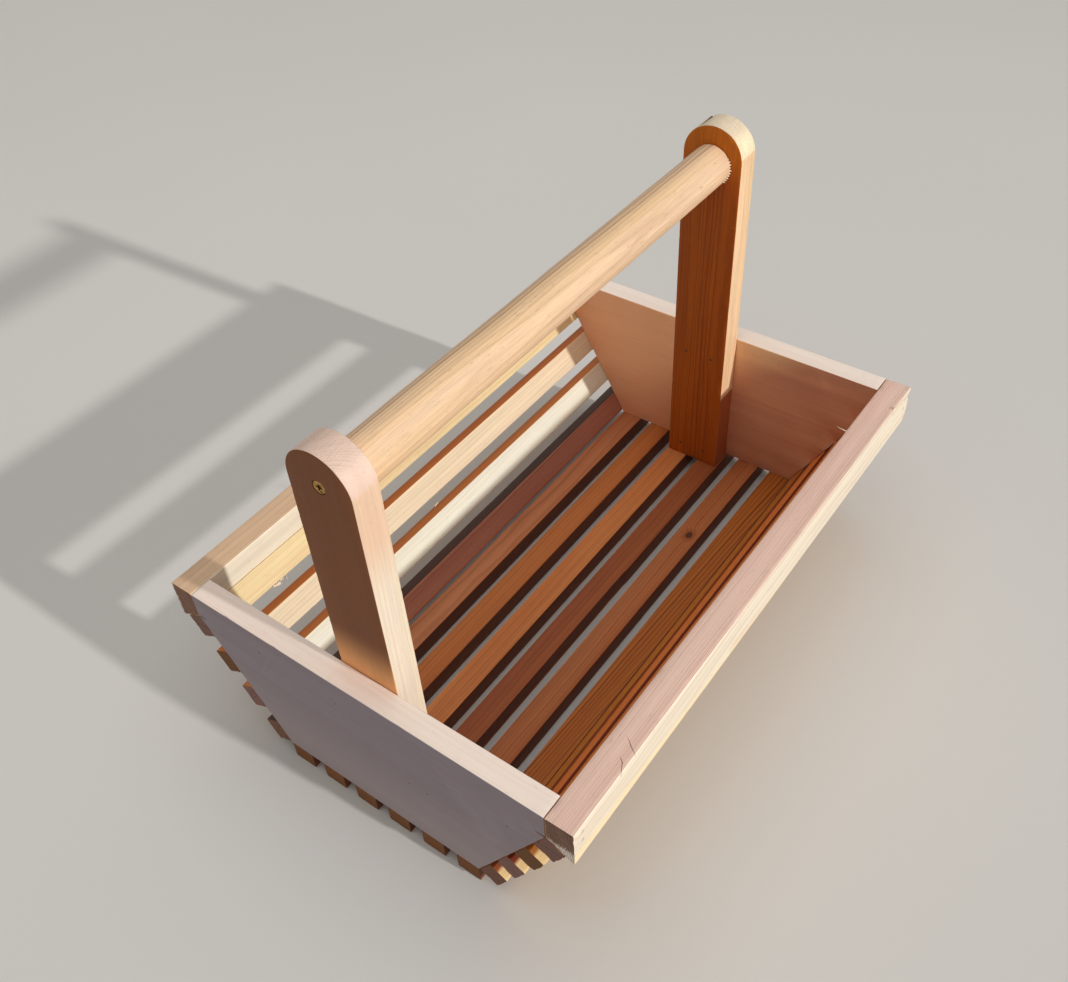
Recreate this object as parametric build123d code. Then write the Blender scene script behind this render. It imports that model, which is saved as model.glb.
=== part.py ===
from build123d import *
import math
import os

# Slatted cedar trug. Two end boards carry two rails, four slats on each sloping side and six floor slats.
# An upright stands inside each end board, and a round bar between the uprights is the handle.
# X runs along the trug, Y across it and Z up. The origin is the middle of the underside.
# Front is the end at -X, back the end at +X, left the side at +Y and right the side at -Y.
# All lengths are in millimetres.

# Overall sizes
trug_length = 457.0
rail_span = 330.0

# End boards
board_thickness = 17.0
board_height = 126.5
board_foot_width = 172.0
board_ease = 0.5
kerf_width = 1.2
kerf_length = 7.0

# Rails, whose height is that of the inner side
rail_width = 20.0
rail_height = 22.0
rail_ease = 0.8

# Slats
slat_width = 19.5
slat_thickness = 16.0
slat_ease = 0.6
floor_slat_count = 6
side_slat_count = 4
side_slat_foot_gap = 1.5

# Uprights, whose rise is measured from the top of the end board
upright_width = 47.5
upright_thickness = 20.5
upright_rise = 186.0
upright_ease = 0.8

# Carrying bar, whose axis lies below the centres of the uprights' round tops, where its screws go in
bar_diameter = 31.0
bar_drop = 5.0
bar_ease = 0.6

# Brads, which are thin headed nails driven flush
brad_diameter = 1.6
brad_head_diameter = 2.6
brad_head_height = 0.7
brad_tip_length = 1.8
brad_clearance = 0.1
slat_brad_length = 32.0
frame_brad_length = 35.0
upright_brad_spacing = 23.0
upright_brad_margin = 12.7
floor_brad_share = 0.35
side_brad_share = 0.65
rail_brad_shares = (0.3, 0.7)

# Countersunk cross-recess screws that hold the bar
screw_diameter = 4.2
screw_head_diameter = 8.6
screw_length = 50.0
screw_tip_length = 5.0
screw_sink = 0.3
screw_clearance = 0.15
thread_depth = 0.5
thread_length = 27.0
thread_pitch = 2.0
thread_crest_share = 0.12
recess_width = 1.3
recess_span = 4.6
recess_depth = 2.0

# Places that follow from the sizes above
half_length = trug_length / 2
board_bottom = slat_thickness
board_top = board_bottom + board_height
foot_half = board_foot_width / 2
rail_outer = rail_span / 2
notch_half = rail_outer - rail_width
notch_bottom = board_top - rail_height
lean_run = notch_half - foot_half
lean_drop = notch_bottom - board_bottom
slope_length = math.hypot(lean_run, lean_drop)
lean = math.atan2(lean_run, lean_drop)
floor_slat_pitch = (board_foot_width - slat_width) / (floor_slat_count - 1)
side_slat_pitch = (slope_length - side_slat_foot_gap - slat_width) / (side_slat_count - 1)
upright_top = board_top + upright_rise
round_centre = upright_top - upright_width / 2
bar_height = round_centre - bar_drop
upright_outer = half_length - board_thickness
upright_inner = upright_outer - upright_thickness

ends = {"front": -1, "back": 1}
sides = {"left": 1, "right": -1}


def prism(outline, start, length):
    """Extrude an outline of (y, z) points along X from start."""
    section = Plane.YZ.offset(start) * make_face(Polyline(*outline, close=True))
    return extrude(section, amount=length)


def ease_long_edges(solid, radius):
    """Round the edges that run along X."""
    return fillet(solid.edges().filter_by(Axis.X), radius)


def slope_point(side, down, out):
    """Point (y, z) on a side wall: down the slope from the rail, and out from the board's edge."""
    y = notch_half - down * math.sin(lean) + out * math.cos(lean)
    z = notch_bottom - down * math.cos(lean) - out * math.sin(lean)
    return side * y, z


def side_slat_start(index):
    return index * side_slat_pitch


def floor_slat_centre(index):
    return foot_half - slat_width / 2 - index * floor_slat_pitch


# Each fastener is placed by a plane whose origin is the middle of its head and whose Z is the way it is driven.


def end_x(end, share):
    """X of a point inside an end board, at a share of its thickness from the outer face."""
    return end * (half_length - share * board_thickness)


def floor_brad_planes(end, index):
    return [Plane((end_x(end, floor_brad_share), floor_slat_centre(index), 0), z_dir=(0, 0, 1))]


def side_brad_planes(end, side, index):
    y, z = slope_point(side, side_slat_start(index) + slat_width / 2, slat_thickness)
    inward = (0, -side * math.cos(lean), math.sin(lean))
    return [Plane((end_x(end, side_brad_share), y, z), z_dir=inward)]


def rail_brad_planes(end, side):
    planes = []
    for share in rail_brad_shares:
        origin = (end_x(end, 1 / 2), side * rail_outer, board_top - share * rail_height)
        planes.append(Plane(origin, z_dir=(0, -side, 0)))
    return planes


def upright_brad_planes(end):
    planes = []
    for height in (board_bottom + upright_brad_margin, board_top - upright_brad_margin):
        for side in sides.values():
            origin = (end * upright_inner, side * upright_brad_spacing / 2, height)
            planes.append(Plane(origin, z_dir=(end, 0, 0)))
    return planes


def screw_plane(end):
    return Plane((end * upright_outer, 0, round_centre), z_dir=(-end, 0, 0))


def revolved(outline):
    """Turn an outline of (radius, depth) points about the fastener's own axis."""
    return revolve(Plane.XZ * make_face(Polyline(*outline, close=True)), Axis.Z)


def brad(length):
    head = brad_head_diameter / 2
    shank = brad_diameter / 2
    return revolved([
        (0, 0),
        (head, 0),
        (head, brad_head_height),
        (shank, brad_head_height),
        (shank, length - brad_tip_length),
        (0, length),
    ])


def brad_hole(length):
    head = brad_head_diameter / 2 + brad_clearance
    shank = brad_diameter / 2 + brad_clearance
    seat = brad_head_height + brad_clearance
    return revolved([
        (0, -brad_clearance),
        (head, -brad_clearance),
        (head, seat),
        (shank, seat),
        (shank, length + brad_clearance),
        (0, length + brad_clearance),
    ])


def screw():
    """Countersunk screw whose threaded end carries parallel ridges."""
    head = screw_head_diameter / 2
    shank = screw_diameter / 2
    root = shank - thread_depth
    cone = screw_sink + head - shank
    outline = [(0, screw_sink), (head, screw_sink), (shank, cone)]
    start = screw_length - screw_tip_length - thread_length
    outline.append((shank, start))
    turns = int(thread_length / thread_pitch)
    for turn in range(turns):
        crest = start + (turn + 1 / 2) * thread_pitch
        outline.append((root, crest - thread_pitch / 2 + thread_crest_share * thread_pitch))
        outline.append((shank, crest - thread_crest_share * thread_pitch))
        outline.append((shank, crest + thread_crest_share * thread_pitch))
    outline.append((root, start + turns * thread_pitch))
    outline.append((root, screw_length - screw_tip_length))
    outline.append((0, screw_length))
    body = revolved(outline)
    bar = Box(recess_span, recess_width, recess_depth, align=(Align.CENTER, Align.CENTER, Align.MIN))
    recess = Pos(0, 0, screw_sink) * (bar + Rot(0, 0, 90) * bar)
    return body - recess


def screw_hole():
    head = screw_head_diameter / 2
    shank = screw_diameter / 2
    cone = screw_sink + head - shank
    return revolved([
        (0, -screw_clearance),
        (head + screw_clearance, -screw_clearance),
        (head + screw_clearance, screw_sink),
        (shank + screw_clearance, cone),
        (shank + screw_clearance, screw_length + screw_clearance),
        (0, screw_length + screw_clearance),
    ])


slat_brad = brad(slat_brad_length)
slat_brad_hole = brad_hole(slat_brad_length)
frame_brad = brad(frame_brad_length)
frame_brad_hole = brad_hole(frame_brad_length)
bar_screw = screw()
bar_screw_hole = screw_hole()


def placed(planes, shape):
    return [plane.location * shape for plane in planes]


def drilled(solid, holes):
    for hole in holes:
        solid = solid - hole
    return solid


def end_board(end):
    """Trapezoid board with a notch in each top corner for a rail, and the saw's overcut at the notch."""
    outline = [
        (notch_half, board_top),
        (notch_half, notch_bottom),
        (foot_half, board_bottom),
        (-foot_half, board_bottom),
        (-notch_half, notch_bottom),
        (-notch_half, board_top),
    ]
    start = min(end * half_length, end * upright_outer)
    board = prism(outline, start, board_thickness)
    faces = board.faces().filter_by(Axis.X)
    board = fillet(faces.edges(), board_ease)
    for side in sides.values():
        near, far = side * (notch_half - kerf_length), side * (notch_half + board_ease)
        slot = [
            (near, notch_bottom),
            (far, notch_bottom),
            (far, notch_bottom + kerf_width),
            (near, notch_bottom + kerf_width),
        ]
        board = board - prism(slot, start, board_thickness)
    holes = placed(upright_brad_planes(end), frame_brad_hole)
    for index in range(floor_slat_count):
        holes += placed(floor_brad_planes(end, index), slat_brad_hole)
    for side in sides.values():
        holes += placed(rail_brad_planes(end, side), frame_brad_hole)
        for index in range(side_slat_count):
            holes += placed(side_brad_planes(end, side, index), slat_brad_hole)
    return drilled(board, holes)


def rail(side):
    """Bar with upright sides, whose underside is square to the sloping wall so that the top slat fits it."""
    outline = [
        (side * notch_half, board_top),
        (side * rail_outer, board_top),
        (side * rail_outer, notch_bottom - rail_width * math.tan(lean)),
        (side * notch_half, notch_bottom),
    ]
    solid = ease_long_edges(prism(outline, -half_length, trug_length), rail_ease)
    holes = []
    for end in ends.values():
        holes += placed(rail_brad_planes(end, side), frame_brad_hole)
    return drilled(solid, holes)


def side_slat(side, index):
    start = side_slat_start(index)
    stop = start + slat_width
    outline = [
        slope_point(side, start, 0),
        slope_point(side, start, slat_thickness),
        slope_point(side, stop, slat_thickness),
        slope_point(side, stop, 0),
    ]
    solid = ease_long_edges(prism(outline, -half_length, trug_length), slat_ease)
    holes = []
    for end in ends.values():
        holes += placed(side_brad_planes(end, side, index), slat_brad_hole)
    return drilled(solid, holes)


def floor_slat(index):
    centre = floor_slat_centre(index)
    left, right = centre + slat_width / 2, centre - slat_width / 2
    outline = [(right, 0), (left, 0), (left, slat_thickness), (right, slat_thickness)]
    solid = ease_long_edges(prism(outline, -half_length, trug_length), slat_ease)
    holes = []
    for end in ends.values():
        holes += placed(floor_brad_planes(end, index), slat_brad_hole)
    return drilled(solid, holes)


def upright(end):
    """Flat post with a half-round top, standing on the floor slats against the end board."""
    half = upright_width / 2
    outline = Polyline((half, round_centre), (half, board_bottom), (-half, board_bottom), (-half, round_centre))
    top = ThreePointArc((-half, round_centre), (0, upright_top), (half, round_centre))
    start = min(end * upright_inner, end * upright_outer)
    section = Plane.YZ.offset(start) * make_face(outline + top)
    solid = extrude(section, amount=upright_thickness)
    solid = fillet(solid.faces().filter_by(Axis.X).edges(), upright_ease)
    holes = placed(upright_brad_planes(end), frame_brad_hole)
    holes += placed([screw_plane(end)], bar_screw_hole)
    return drilled(solid, holes)


def carry_bar():
    """Round bar that butts against both uprights."""
    axis = Plane((-upright_inner, 0, bar_height), z_dir=(1, 0, 0))
    solid = extrude(axis * Circle(bar_diameter / 2), amount=2 * upright_inner)
    solid = fillet(solid.edges().filter_by(GeomType.CIRCLE), bar_ease)
    return drilled(solid, placed([screw_plane(end) for end in ends.values()], bar_screw_hole))


def make_nodes():
    nodes = {"carry_bar": carry_bar()}
    for name, end in ends.items():
        nodes["end_board_" + name] = end_board(end)
        nodes["upright_" + name] = upright(end)
    for name, side in sides.items():
        nodes["rail_" + name] = rail(side)
        for index in range(side_slat_count):
            nodes[f"side_slat_{name}_{index + 1}"] = side_slat(side, index)
    for index in range(floor_slat_count):
        nodes[f"floor_slat_{index + 1}"] = floor_slat(index)
    return nodes


def make_fasteners():
    groups = {"bar_screws": [], "upright_brads": [], "rail_brads": [], "floor_brads": []}
    for end in ends.values():
        groups["bar_screws"] += placed([screw_plane(end)], bar_screw)
        groups["upright_brads"] += placed(upright_brad_planes(end), frame_brad)
        for index in range(floor_slat_count):
            groups["floor_brads"] += placed(floor_brad_planes(end, index), slat_brad)
        for name, side in sides.items():
            groups["rail_brads"] += placed(rail_brad_planes(end, side), frame_brad)
            brads = groups.setdefault("side_brads_" + name, [])
            for index in range(side_slat_count):
                brads += placed(side_brad_planes(end, side, index), slat_brad)
    return {name: Compound([piece.solid() for piece in pieces]) for name, pieces in groups.items()}


os.makedirs("parts", exist_ok=True)
for node, shape in {**make_nodes(), **make_fasteners()}.items():
    export_step(shape, f"parts/{node}.step")
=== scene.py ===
import math

import bpy
from mathutils import Matrix, Vector, noise
from mathutils.geometry import delaunay_2d_cdt


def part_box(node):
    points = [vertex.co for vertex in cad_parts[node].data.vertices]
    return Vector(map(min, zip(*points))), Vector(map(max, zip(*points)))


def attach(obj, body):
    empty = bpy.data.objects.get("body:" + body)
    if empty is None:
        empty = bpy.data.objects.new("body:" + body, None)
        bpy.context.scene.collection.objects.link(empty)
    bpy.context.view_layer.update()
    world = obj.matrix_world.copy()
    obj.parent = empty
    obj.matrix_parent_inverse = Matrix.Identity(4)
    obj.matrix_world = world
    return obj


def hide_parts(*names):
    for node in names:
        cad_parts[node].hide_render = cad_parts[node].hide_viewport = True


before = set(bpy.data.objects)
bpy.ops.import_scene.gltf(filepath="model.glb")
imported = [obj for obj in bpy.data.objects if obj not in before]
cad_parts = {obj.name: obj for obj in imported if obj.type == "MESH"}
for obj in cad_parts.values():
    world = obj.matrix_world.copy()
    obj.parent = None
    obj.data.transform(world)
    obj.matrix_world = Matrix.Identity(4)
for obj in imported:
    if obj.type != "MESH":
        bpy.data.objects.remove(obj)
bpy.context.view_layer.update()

# Slatted cedar trug. X runs along it, Y across it and Z up, with the origin at the middle of its underside.
# Shapes are worked out in millimetres and written to the meshes in metres.
MM = 0.001
X, Y, Z = range(3)
AXIS_X = (1, 0, 0)
AXIS_Y = (0, 1, 0)
AXIS_Z = (0, 0, 1)

# Distances between the points of a mesh
STEP = 2.6
BOARD_STEP = 3.4
UPRIGHT_STEP = 2.0
BAR_STEP = 2.2
SLAT_END_STEP = 2.0
RAIL_END_STEP = 1.6
# Narrow bands beside eased edges, which keep flat faces evenly shaded
HOLD = 0.35
END_HOLD = 0.2
# Fewest faces across a corner, and the radius from which it isn't an eased edge
ARC_PIECES = 4
ROUND_RADIUS = 3.0
SAME_POINT = 1e-4
END_TOLERANCE = 1e-5
# Points inside an end: how far they stray and stay off its outline, as shares of their distance
STRAY_SHARE = 0.25
MARGIN_SHARE = 0.45
SPIKE_STATIONS = 6
SPIKE_SIDES = 3
SPIKE_TAPER = 1.6
CRACK_TIP_SHARE = 0.2
SHARP_ANGLE = math.radians(42)

# Eased edges
SLAT_EASE = 0.8
SLAT_OUTER_EASE = 1.6
RAIL_EASE = 1.0
BOARD_EASE = 0.6
BOARD_CORNER = 1.0
BOARD_SEAM = 0.7
UPRIGHT_EASE = 0.8
UPRIGHT_CORNER = 1.2
BAR_EASE = 0.6
CUT_EASE = 0.35
EASED_INSET = 0.02

# How far the wood's surface falls short of its nominal size, and over what lengths
SKIN = 0.03
WAVE = 0.10
WAVE_LENGTH = 21.0
RIPPLE = 0.04
RIPPLE_LENGTH = 3.1
EDGE_WEAR = 0.12
EDGE_WEAR_LENGTH = 9.0
CHIP = 0.8
CHIP_LENGTH = 3.7
CHIP_START = 0.42
GRAIN_STRETCH = 0.35
SAW_CYCLES = (0.6, 0.9, 1.4)
SEED_SHIFTS = (37.1, 17.3, 5.9)
TORN_MARK = 2.0

# How rough the saw left the ends of each kind of piece
SLAT_SAW = 0.35
RAIL_SAW = 0.9
BOARD_SAW = 0.3
UPRIGHT_SAW = 0.15
BAR_SAW = 0.1

# Seeds of the kinds of piece, to which a piece's number or side is added
SIDE_SEED = 10
RAIL_SEED = 20
BOARD_SEED = 30
UPRIGHT_SEED = 40
BAR_SEED = 50


def box(node):
    low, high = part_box(node)
    return low / MM, high / MM


# Sizes taken from the frame
rail_low, rail_high = box("rail_left")
board_low, board_high = box("end_board_back")
upright_low, upright_high = box("upright_back")
bar_low, bar_high = box("carry_bar")
screw_low, screw_high = box("bar_screws")
floor_slats = [box(f"floor_slat_{index}") for index in range(1, 7)]
half_length = rail_high.x
board_top = rail_high.z
slat_width = floor_slats[0][1].y - floor_slats[0][0].y
slat_thickness = floor_slats[0][1].z
foot_half = floor_slats[0][1].y
notch_half = board_high.y
slat_centres = []
for index in range(1, 5):
    low, high = box(f"side_slat_left_{index}")
    slat_centres.append(Vector(((low.y + high.y) / 2, (low.z + high.z) / 2)))
down = (slat_centres[3] - slat_centres[0]).normalized()
out = Vector((-down.y, down.x))
lean_tangent = down.x / down.y
notch = slat_centres[0] - down * slat_width / 2 - out * slat_thickness / 2


# Mesh code


def new_object(name, data):
    """An object with this data, in the scene."""
    made = bpy.data.objects.new(name, data)
    bpy.context.scene.collection.objects.link(made)
    return made


def rectangle(left, bottom, right, top):
    return [Vector((left, bottom)), Vector((right, bottom)), Vector((right, top)), Vector((left, top))]


def mirrored(corners, side):
    """Corners for the left side, turned to the right side and kept counterclockwise."""
    if side > 0:
        return corners
    return [Vector((-corner.x, corner.y)) for corner in reversed(corners)]


def rounded(corners, radii, step):
    """Points of a closed counterclockwise outline with rounded corners, and which are on an eased edge."""
    arcs = []
    count = len(corners)
    for index, corner in enumerate(corners):
        before = (corners[index - 1] - corner).normalized()
        after = (corners[(index + 1) % count] - corner).normalized()
        half = before.angle(after) / 2
        radius = radii[index]
        centre = corner + (before + after).normalized() * radius / math.sin(half)
        start = corner + before * radius / math.tan(half) - centre
        turn = math.pi - 2 * half
        pieces = max(ARC_PIECES, math.ceil(radius * turn / step))
        first = math.atan2(start.y, start.x)
        arc = []
        for piece in range(pieces + 1):
            angle = first + turn * piece / pieces
            arc.append(centre + radius * Vector((math.cos(angle), math.sin(angle))))
        arcs.append((arc, radius < ROUND_RADIUS))
    points, eased = [], []
    for index, (arc, small) in enumerate(arcs):
        points += arc
        eased += [small] * len(arc)
        stop = arcs[(index + 1) % count][0][0]
        run = (stop - arc[-1]).length
        if run > 3 * HOLD:
            pieces = max(1, round((run - 2 * HOLD) / step))
            for piece in range(pieces + 1):
                share = (HOLD + (run - 2 * HOLD) * piece / pieces) / run
                points.append(arc[-1].lerp(stop, share))
                eased.append(False)
    kept = [i for i in range(len(points)) if (points[i] - points[i - 1]).length > SAME_POINT]
    return [points[i] for i in kept], [eased[i] for i in kept]


def outline_normals(points):
    normals = []
    for index in range(len(points)):
        along = (points[(index + 1) % len(points)] - points[index - 1]).normalized()
        normals.append(Vector((along.y, -along.x)))
    return normals


def cap_net(ring, step):
    """Triangles that fill a closed convex ring, with a grid of points inside it."""
    count = len(ring)
    sides = []
    for index in range(count):
        along = (ring[(index + 1) % count] - ring[index]).normalized()
        sides.append((ring[index], Vector((along.y, -along.x))))
    low = Vector((min(p.x for p in ring), min(p.y for p in ring)))
    high = Vector((max(p.x for p in ring), max(p.y for p in ring)))
    inside = []
    columns = math.ceil((high.x - low.x) / step)
    rows = math.ceil((high.y - low.y) / step)
    for column in range(columns):
        for row in range(rows):
            shift = STRAY_SHARE * noise.noise(Vector((column * 1.7, row * 1.3, 0.5)))
            point = low + step * Vector((column + 0.5 + shift, row + 0.5 - shift))
            if all((point - start).dot(outward) < -MARGIN_SHARE * step for start, outward in sides):
                inside.append(point)
    edges = [(index, (index + 1) % count) for index in range(count)]
    made = delaunay_2d_cdt(ring + inside, edges, [], 1, END_TOLERANCE)
    return made[0], made[2], made[3]


def band(first, second, count):
    """Faces between two rings of count points, whose indices start at first and second."""
    faces = []
    for index in range(count):
        after = (index + 1) % count
        faces.append((first + index, first + after, second + after, second + index))
    return faces


class Skin:
    """Points, faces and marks of one piece, in millimetres. A mark is 1 on an eased edge, TORN_MARK on a
    torn fibre and 0 elsewhere."""

    def __init__(self):
        self.points, self.faces, self.marks = [], [], []

    def add_ring(self, ring, x, marks):
        first = len(self.points)
        self.points += [Vector((x, p.x, p.y)) for p in ring]
        self.marks += marks
        return first

    def add_cap(self, ring, x, first, step, back):
        """Close the ring of points that starts at index first. The back end faces +X."""
        places, triangles, origins = cap_net(ring, step)
        indices = []
        for place, origin in zip(places, origins):
            source = [o for o in origin if o < len(ring)]
            if source:
                indices.append(first + source[0])
            else:
                indices.append(len(self.points))
                self.points.append(Vector((x, place.x, place.y)))
                self.marks.append(0.0)
        for a, b, c in triangles:
            turn = (places[b] - places[a]).cross(places[c] - places[a])
            face = (indices[a], indices[b], indices[c])
            self.faces.append(face if (turn > 0) == back else face[::-1])

    def add_spike(self, start, way, side, length, width, curl):
        """A torn fibre: a thin curved spike that stays joined to the surface at its start."""
        start = Vector(start)
        way = Vector(way).normalized()
        up = way.cross(side).normalized()
        side = up.cross(way)
        first = len(self.points)
        for station in range(SPIKE_STATIONS):
            share = station / SPIKE_STATIONS
            middle = start + way * length * share + up * curl * share * share
            half = width * (1 - share ** SPIKE_TAPER) / 2
            for turn in range(SPIKE_SIDES):
                angle = turn * math.tau / SPIKE_SIDES
                self.points.append(middle + (side * math.cos(angle) + up * math.sin(angle)) * half)
        tip = len(self.points)
        last = tip - SPIKE_SIDES
        self.points.append(start + way * length + up * curl)
        self.marks += [TORN_MARK] * (tip + 1 - first)
        for ring in range(first, last, SPIKE_SIDES):
            self.faces += band(ring, ring + SPIKE_SIDES, SPIKE_SIDES)
        for turn in range(SPIKE_SIDES):
            self.faces.append((last + turn, last + (turn + 1) % SPIKE_SIDES, tip))
        self.faces.append(tuple(range(first + SPIKE_SIDES - 1, first - 1, -1)))

    def mesh(self, name):
        mesh = bpy.data.meshes.new(name)
        mesh.from_pydata([p * MM for p in self.points], [], self.faces)
        mark = mesh.attributes.new("edge", "FLOAT", "POINT")
        mark.data.foreach_set("value", self.marks)
        return mesh


def sweep(outline, eased, start, stop, step, ease, cap_step):
    """A closed piece: an outline of (y, z) points carried along X, with eased ends."""
    skin = Skin()
    normals = outline_normals(outline)
    marks = [1.0 if flag else 0.0 for flag in eased]
    ends = []
    for piece in range(ARC_PIECES + 1):
        angle = math.pi / 2 * piece / ARC_PIECES
        ends.append((ease * (1 - math.cos(angle)), ease * (1 - math.sin(angle))))
    reach = ease + HOLD
    count = max(1, round((stop - start - 2 * reach) / step))
    stations = [(start + x, inset) for x, inset in ends]
    for index in range(count + 1):
        stations.append((start + reach + (stop - start - 2 * reach) * index / count, 0.0))
    stations += [(stop - x, inset) for x, inset in reversed(ends)]
    size = len(outline)
    firsts = []
    for x, inset in stations:
        ring = [p - n * inset for p, n in zip(outline, normals)]
        firsts.append(skin.add_ring(ring, x, [1.0] * size if inset > EASED_INSET else marks))
    for first, second in zip(firsts, firsts[1:]):
        skin.faces += band(first, second, size)
    inner = [p - n * (ease + END_HOLD) for p, n in zip(outline, normals)]
    for x, edge_ring, back in ((start, firsts[0], False), (stop, firsts[-1], True)):
        hold_ring = skin.add_ring(inner, x, [0.0] * size)
        faces = band(edge_ring, hold_ring, size)
        skin.faces += faces if back else [face[::-1] for face in faces]
        skin.add_cap(inner, x, hold_ring, cap_step, back)
    return skin


def unit_noise(place):
    """Noise from 0 to 1."""
    return 0.5 + 0.5 * noise.noise(place)


def stretched(point, factors):
    return Vector([value * factor for value, factor in zip(point, factors)])


def wear(skin, grain, seed, end_rough, extra=None):
    """Move each point inward by the small unevenness of planed and sawn wood, and by what extra gives."""
    mesh = skin.mesh("measure")
    normals = [v.normal.copy() for v in mesh.vertices]
    bpy.data.meshes.remove(mesh)
    shift = Vector([seed * number for number in SEED_SHIFTS])
    stretch = Vector((1, 1, 1))
    stretch[grain] = GRAIN_STRETCH
    moved = []
    for point, normal, mark in zip(skin.points, normals, skin.marks):
        place = stretched(point, stretch) + shift
        depth = SKIN + WAVE * unit_noise(place / WAVE_LENGTH)
        depth += RIPPLE * unit_noise(place / RIPPLE_LENGTH)
        end = max(0.0, (abs(normal[grain]) - 0.5) * 2)
        if end > 0:
            depth += end_rough * end * unit_noise(stretched(point, SAW_CYCLES) + shift)
        if mark > 0:
            depth += EDGE_WEAR * mark * unit_noise(place / EDGE_WEAR_LENGTH)
            chip = noise.noise(point / CHIP_LENGTH - shift)
            depth += CHIP * mark * max(0.0, chip - CHIP_START)
        if extra:
            depth += extra(point, normal)
        moved.append(point - normal * depth)
    skin.points = moved


def tube_faces(rings, count):
    """Faces of a closed tube that has rings of count points each."""
    faces = []
    for first in range(0, (rings - 1) * count, count):
        faces += band(first, first + count, count)
    faces.append(tuple(range(count - 1, -1, -1)))
    faces.append(tuple(range((rings - 1) * count, rings * count)))
    return faces


def prism(points, low, high, axis):
    """A closed cutter: a polygon carried along an axis. Each point holds its other two numbers in order."""
    made = []
    for level in (low, high):
        for pair in points:
            numbers = list(pair)
            numbers.insert(axis, level)
            made.append(Vector(numbers) * MM)
    return made, tube_faces(2, len(points))


def lathe(profile, centre, sign, count):
    """A closed cutter with count sides about X: (depth, radius) points, from the outside in."""
    made = []
    for depth, radius in profile:
        for index in range(count):
            angle = math.tau * index / count
            y, z = radius * math.cos(angle), radius * math.sin(angle)
            made.append(Vector((centre.x - sign * depth, centre.y + y, centre.z + z)) * MM)
    faces = tube_faces(len(profile), count)
    if sign > 0:
        faces = [face[::-1] for face in faces]
    return made, faces


def crack(path, width, low, high):
    """A cutter for a crack along the points of path, widest in its middle."""
    left, right = [], []
    for index, point in enumerate(path):
        before = path[max(0, index - 1)]
        after = path[min(len(path) - 1, index + 1)]
        way = (after - before).normalized()
        side = Vector((-way.y, way.x))
        share = index / (len(path) - 1)
        half = width * (CRACK_TIP_SHARE + (1 - CRACK_TIP_SHARE) * math.sin(math.pi * share)) / 2
        left.append(point + side * half)
        right.append(point - side * half)
    return prism([tuple(p) for p in right + left[::-1]], low, high, Z)


def carve(piece, cutters):
    """Cut the cutters out of a piece's mesh."""
    points, faces = [], []
    for made, sides in cutters:
        first = len(points)
        points += made
        faces += [tuple(first + index for index in side) for side in sides]
    mesh = bpy.data.meshes.new("cutter")
    mesh.from_pydata(points, [], faces)
    mesh.validate()
    # The cut faces take wood painted dark, as painted shade inside the hollows
    mesh.materials.append(bore_painted_shade)
    cutter = new_object("cutter", mesh)
    fix = piece.modifiers.new("carve", "BOOLEAN")
    fix.operation = "DIFFERENCE"
    fix.solver = "EXACT"
    fix.material_mode = "TRANSFER"
    fix.object = cutter
    fix.use_self = True
    bpy.context.view_layer.update()
    graph = bpy.context.evaluated_depsgraph_get()
    made = bpy.data.meshes.new_from_object(piece.evaluated_get(graph))
    piece.modifiers.clear()
    piece.data = made
    bpy.data.objects.remove(cutter)


# Materials


def tint(red, green, blue):
    """Linear colour of an sRGB colour given as 0 to 255."""
    made = []
    for value in (red, green, blue):
        value /= 255
        made.append(value / 12.92 if value <= 0.04045 else ((value + 0.055) / 1.055) ** 2.4)
    return (*made, 1.0)


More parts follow.
